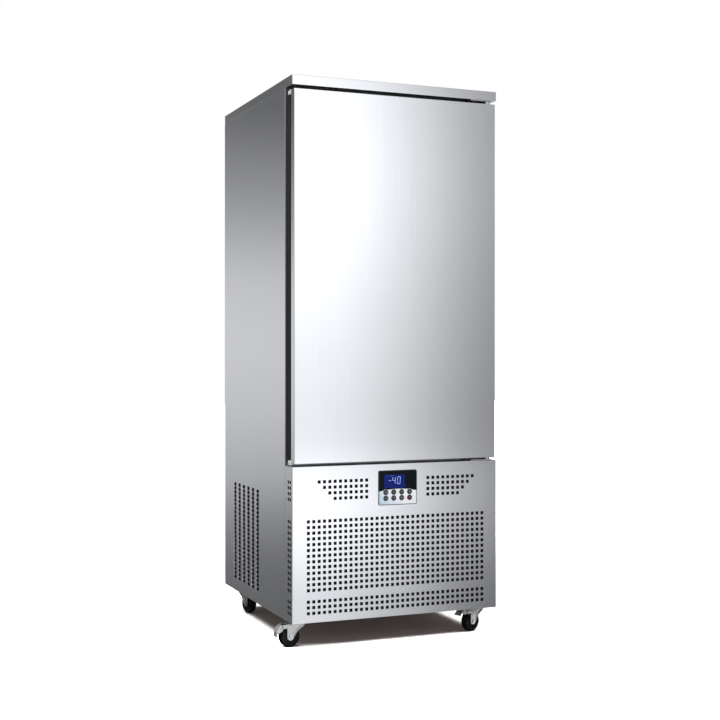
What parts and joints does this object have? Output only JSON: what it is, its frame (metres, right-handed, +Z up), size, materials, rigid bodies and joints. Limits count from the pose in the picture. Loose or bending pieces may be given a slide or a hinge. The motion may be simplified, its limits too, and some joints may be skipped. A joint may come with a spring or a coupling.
{
  "type": "blast chiller",
  "caption": "Upright reach-in blast chiller: insulated stainless cabinet with one hinged door over tray ledges, perforated front with a key panel, louvred sides, swivel casters.",
  "frame": {"origin": "on the floor, under the middle of the cabinet between the door's face and its back", "axes": "+Z up, +Y towards the back, +X towards the right of someone who faces the door"},
  "size_m": [0.8437, 0.843, 2.003],
  "materials": {
    "stainless_steel": "satin",
    "chamber_steel": "satin",
    "galvanised_steel": "satin",
    "zinc_plating": "satin",
    "insulation_foam": "matte",
    "black_plastic": "satin",
    "pale_plastic": "satin",
    "black_rubber": "matte",
    "control_glass": "gloss",
    "display": "gloss",
    "key_black": "satin",
    "key_red": "satin",
    "black_enamel": "satin",
    "fins": "satin",
    "fan_blades": "satin",
    "copper": "satin"
  },
  "bodies": {
    "cabinet": {"top_panel": "stainless_steel", "left_side_panel": "stainless_steel", "right_side_panel": "stainless_steel", "back_panel": "stainless_steel", "cabinet_foam": "insulation_foam", "inner_liner": "chamber_steel", "door_frame": "black_plastic", "base_frame": "galvanised_steel", "machine_deck": "galvanised_steel", "front_panel": "stainless_steel", "control_bezel": "control_glass", "display_window": "display", "control_box": "black_plastic", "hinge_bracket_bottom": "zinc_plating", "hinge_bracket_top": "zinc_plating", "compressor": "black_enamel", "condenser": "fins", "condenser_fan_motor": "black_enamel", "liquid_receiver": "black_enamel", "discharge_pipe": "copper", "suction_pipe": "copper", "power_inlet": "black_plastic", "evaporator": "fins", "evaporator_cover": "chamber_steel", "chamber_fan_motor_lower": "black_enamel", "chamber_fan_motor_upper": "black_enamel", "tray_rack_left": "chamber_steel", "tray_rack_right": "chamber_steel", "front_left_caster_plate": "zinc_plating", "front_right_caster_plate": "zinc_plating", "rear_left_caster_plate": "zinc_plating", "rear_right_caster_plate": "zinc_plating"},
    "door": {"door_skin": "stainless_steel", "door_foam": "insulation_foam", "door_liner": "chamber_steel", "door_gasket": "black_rubber", "door_grip": "black_plastic", "grip_cap_bottom": "pale_plastic", "grip_cap_top": "pale_plastic"},
    "condenser_fan": {"condenser_fan": "fan_blades"},
    "chamber_fan_lower": {"chamber_fan_lower": "fan_blades"},
    "chamber_fan_upper": {"chamber_fan_upper": "fan_blades"},
    "key_1": {"key_1": "key_black"},
    "key_2": {"key_2": "key_black"},
    "key_3": {"key_3": "key_black"},
    "key_4": {"key_4": "key_black"},
    "key_5": {"key_5": "key_black"},
    "key_6": {"key_6": "key_black"},
    "key_7": {"key_7": "key_black"},
    "key_8": {"key_8": "key_red"},
    "front_left_caster_fork": {"front_left_caster_fork": "zinc_plating"},
    "front_left_caster_wheel": {"front_left_caster_wheel": "black_rubber"},
    "front_left_brake_pedal": {"front_left_brake_pedal": "zinc_plating"},
    "front_right_caster_fork": {"front_right_caster_fork": "zinc_plating"},
    "front_right_caster_wheel": {"front_right_caster_wheel": "black_rubber"},
    "front_right_brake_pedal": {"front_right_brake_pedal": "zinc_plating"},
    "rear_left_caster_fork": {"rear_left_caster_fork": "zinc_plating"},
    "rear_left_caster_wheel": {"rear_left_caster_wheel": "black_rubber"},
    "rear_right_caster_fork": {"rear_right_caster_fork": "zinc_plating"},
    "rear_right_caster_wheel": {"rear_right_caster_wheel": "black_rubber"}
  },
  "joints": [
    {"name": "door_hinge", "type": "hinge", "parent": "cabinet", "child": "door", "pos_m": [0.3685, -0.4035, 0.6475], "axis": [0, 0, 1], "range_deg": [0, 120]},
    {"name": "key_1_press", "type": "slide", "parent": "cabinet", "child": "key_1", "axis": [0, 1, 0], "range_m": [0, 0.0008], "stiffness_N_per_m": 600},
    {"name": "key_2_press", "type": "slide", "parent": "cabinet", "child": "key_2", "axis": [0, 1, 0], "range_m": [0, 0.0008], "stiffness_N_per_m": 600},
    {"name": "key_3_press", "type": "slide", "parent": "cabinet", "child": "key_3", "axis": [0, 1, 0], "range_m": [0, 0.0008], "stiffness_N_per_m": 600},
    {"name": "key_4_press", "type": "slide", "parent": "cabinet", "child": "key_4", "axis": [0, 1, 0], "range_m": [0, 0.0008], "stiffness_N_per_m": 600},
    {"name": "key_5_press", "type": "slide", "parent": "cabinet", "child": "key_5", "axis": [0, 1, 0], "range_m": [0, 0.0008], "stiffness_N_per_m": 600},
    {"name": "key_6_press", "type": "slide", "parent": "cabinet", "child": "key_6", "axis": [0, 1, 0], "range_m": [0, 0.0008], "stiffness_N_per_m": 600},
    {"name": "key_7_press", "type": "slide", "parent": "cabinet", "child": "key_7", "axis": [0, 1, 0], "range_m": [0, 0.0008], "stiffness_N_per_m": 600},
    {"name": "key_8_press", "type": "slide", "parent": "cabinet", "child": "key_8", "axis": [0, 1, 0], "range_m": [0, 0.0008], "stiffness_N_per_m": 600},
    {"name": "chamber_fan_lower_spin", "type": "hinge", "parent": "cabinet", "child": "chamber_fan_lower", "pos_m": [0, 0.1615, 1.0525], "axis": [0, 1, 0], "continuous": true},
    {"name": "chamber_fan_upper_spin", "type": "hinge", "parent": "cabinet", "child": "chamber_fan_upper", "pos_m": [0, 0.1615, 1.5525], "axis": [0, 1, 0], "continuous": true},
    {"name": "condenser_fan_spin", "type": "hinge", "parent": "cabinet", "child": "condenser_fan", "pos_m": [0, -0.2235, 0.306], "axis": [0, 1, 0], "continuous": true},
    {"name": "front_left_swivel", "type": "hinge", "parent": "cabinet", "child": "front_left_caster_fork", "pos_m": [-0.354, -0.3505, 0.088], "axis": [0, 0, 1], "continuous": true},
    {"name": "front_left_roll", "type": "hinge", "parent": "front_left_caster_fork", "child": "front_left_caster_wheel", "pos_m": [-0.38895, -0.35233, 0.0375], "axis": [0.0523, -0.9986, 0], "continuous": true},
    {"name": "front_left_brake", "type": "hinge", "parent": "front_left_caster_fork", "child": "front_left_brake_pedal", "pos_m": [-0.41392, -0.35364, 0.073], "axis": [0.0523, -0.9986, 0], "range_deg": [-43, 0]},
    {"name": "front_right_swivel", "type": "hinge", "parent": "cabinet", "child": "front_right_caster_fork", "pos_m": [0.354, -0.3505, 0.088], "axis": [0, 0, 1], "continuous": true},
    {"name": "front_right_roll", "type": "hinge", "parent": "front_right_caster_fork", "child": "front_right_caster_wheel", "pos_m": [0.32071, -0.36132, 0.0375], "axis": [0.309, -0.9511, 0], "continuous": true},
    {"name": "front_right_brake", "type": "hinge", "parent": "front_right_caster_fork", "child": "front_right_brake_pedal", "pos_m": [0.29694, -0.36904, 0.073], "axis": [0.309, -0.9511, 0], "range_deg": [0, 43]},
    {"name": "rear_left_swivel", "type": "hinge", "parent": "cabinet", "child": "rear_left_caster_fork", "pos_m": [-0.354, 0.2975, 0.088], "axis": [0, 0, 1], "continuous": true},
    {"name": "rear_left_roll", "type": "hinge", "parent": "rear_left_caster_fork", "child": "rear_left_caster_wheel", "pos_m": [-0.34494, 0.26369, 0.0375], "axis": [0.9659, 0.2588, 0], "continuous": true},
    {"name": "rear_right_swivel", "type": "hinge", "parent": "cabinet", "child": "rear_right_caster_fork", "pos_m": [0.354, 0.2975, 0.088], "axis": [0, 0, 1], "continuous": true},
    {"name": "rear_right_roll", "type": "hinge", "parent": "rear_right_caster_fork", "child": "rear_right_caster_wheel", "pos_m": [0.34203, 0.26461, 0.0375], "axis": [0.9397, -0.342, 0], "continuous": true}
  ]
}
